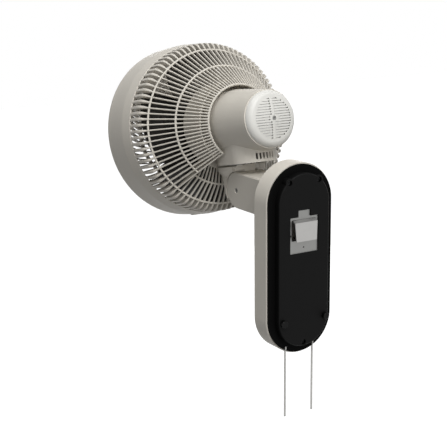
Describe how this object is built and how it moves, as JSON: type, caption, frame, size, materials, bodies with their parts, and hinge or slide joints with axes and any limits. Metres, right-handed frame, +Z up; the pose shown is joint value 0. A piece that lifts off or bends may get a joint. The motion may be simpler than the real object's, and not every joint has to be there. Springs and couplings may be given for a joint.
{
  "type": "wall mounted fan",
  "caption": "Wall mounted fan with a deep caged head that tilts and swings on an arm, a pill-shaped base with a steel wall hanger, and pull cords.",
  "frame": {"origin": "the wall hook's place in the middle of the hanger, in the plane of the wall", "axes": "+Y into the wall, so the fan blows towards -Y; +Z up; +X to the left of someone who faces the fan from the room"},
  "size_m": [0.2924, 0.4043, 0.5631],
  "materials": {
    "body_plastic": "moulded ABS, fine matt grain",
    "cap_plastic": "moulded ABS, smooth matt",
    "cover_plastic": "moulded ABS, matt black",
    "plated_steel": "zinc plated sheet steel",
    "dark_screws": "blackened steel",
    "foot_rubber": "moulded rubber",
    "white_plastic": "moulded nylon",
    "pull_cord": "braided polyester",
    "switch_plastic": "moulded phenolic",
    "capacitor_plastic": "polypropylene box",
    "shaft_steel": "ground steel",
    "core_steel": "laminated electrical steel",
    "winding_copper": "enamelled copper wire",
    "bearing_bronze": "sintered bronze",
    "end_plate_aluminium": "die cast",
    "motor_can": "zinc plated can",
    "gear_plastic": "moulded acetal",
    "blade_plastic": "moulded AS, smoky grey"
  },
  "bodies": {
    "base": {"base_shell": "body_plastic", "rear_cover": "cover_plastic", "hanger_plate": "plated_steel", "wall_feet": "foot_rubber", "cover_screws": "dark_screws", "cord_guides": "white_plastic", "speed_switch": "switch_plastic", "swing_switch": "switch_plastic", "run_capacitor": "capacitor_plastic", "terminal_block": "switch_plastic", "tilt_bolt": "plated_steel", "tilt_nut": "plated_steel", "spring_washers": "plated_steel"},
    "neck": {"tilt_neck": "body_plastic", "swing_post": "shaft_steel", "thrust_washer": "plated_steel", "swing_gear": "gear_plastic", "post_clip": "plated_steel"},
    "head": {"motor_housing": "body_plastic", "swing_bush": "bearing_bronze", "swing_motor": "motor_can", "stator_core": "core_steel", "stator_windings": "winding_copper", "end_plate": "end_plate_aluminium", "shaft_bearings": "bearing_bronze", "motor_cap": "cap_plastic", "cap_screw": "plated_steel", "rear_guard": "body_plastic", "lock_nut": "blade_plastic", "front_rim": "body_plastic", "front_guard": "body_plastic", "guard_clip": "body_plastic"},
    "rotor": {"motor_shaft": "shaft_steel", "rotor_core": "core_steel", "fan_blade": "blade_plastic", "spinner_nut": "blade_plastic"},
    "pinion": {"swing_pinion": "gear_plastic"},
    "speed_pull": {"speed_plunger": "white_plastic", "speed_cord": "pull_cord"},
    "swing_pull": {"swing_plunger": "white_plastic", "swing_cord": "pull_cord"}
  },
  "joints": [
    {"name": "tilt", "type": "hinge", "parent": "base", "child": "neck", "pos_m": [0, -0.159, 0.038], "axis": [1, 0, 0], "range_deg": [-12, 12]},
    {"name": "swing", "type": "hinge", "parent": "neck", "child": "head", "pos_m": [0, -0.20662, 0.13755], "axis": [0, -0.1977, 0.9803], "range_deg": [-40, 40]},
    {"name": "fan_spin", "type": "hinge", "parent": "head", "child": "rotor", "pos_m": [0, -0.18015, 0.14289], "axis": [0, -0.9803, -0.1977], "continuous": true},
    {"name": "pinion_spin", "type": "hinge", "parent": "head", "child": "pinion", "pos_m": [0, -0.18015, 0.14289], "axis": [0, -0.1977, 0.9803], "range_deg": [-121, 121]},
    {"name": "speed_pull_slide", "type": "slide", "parent": "base", "child": "speed_pull", "axis": [0, 0, -1], "range_m": [0, 0.012], "stiffness_N_per_m": 250, "springref_m": -0.004},
    {"name": "swing_pull_slide", "type": "slide", "parent": "base", "child": "swing_pull", "axis": [0, 0, -1], "range_m": [0, 0.012], "stiffness_N_per_m": 250, "springref_m": -0.004}
  ],
  "couplings": [
    {"joint": "pinion_spin", "follows": "swing", "ratio": 3}
  ]
}
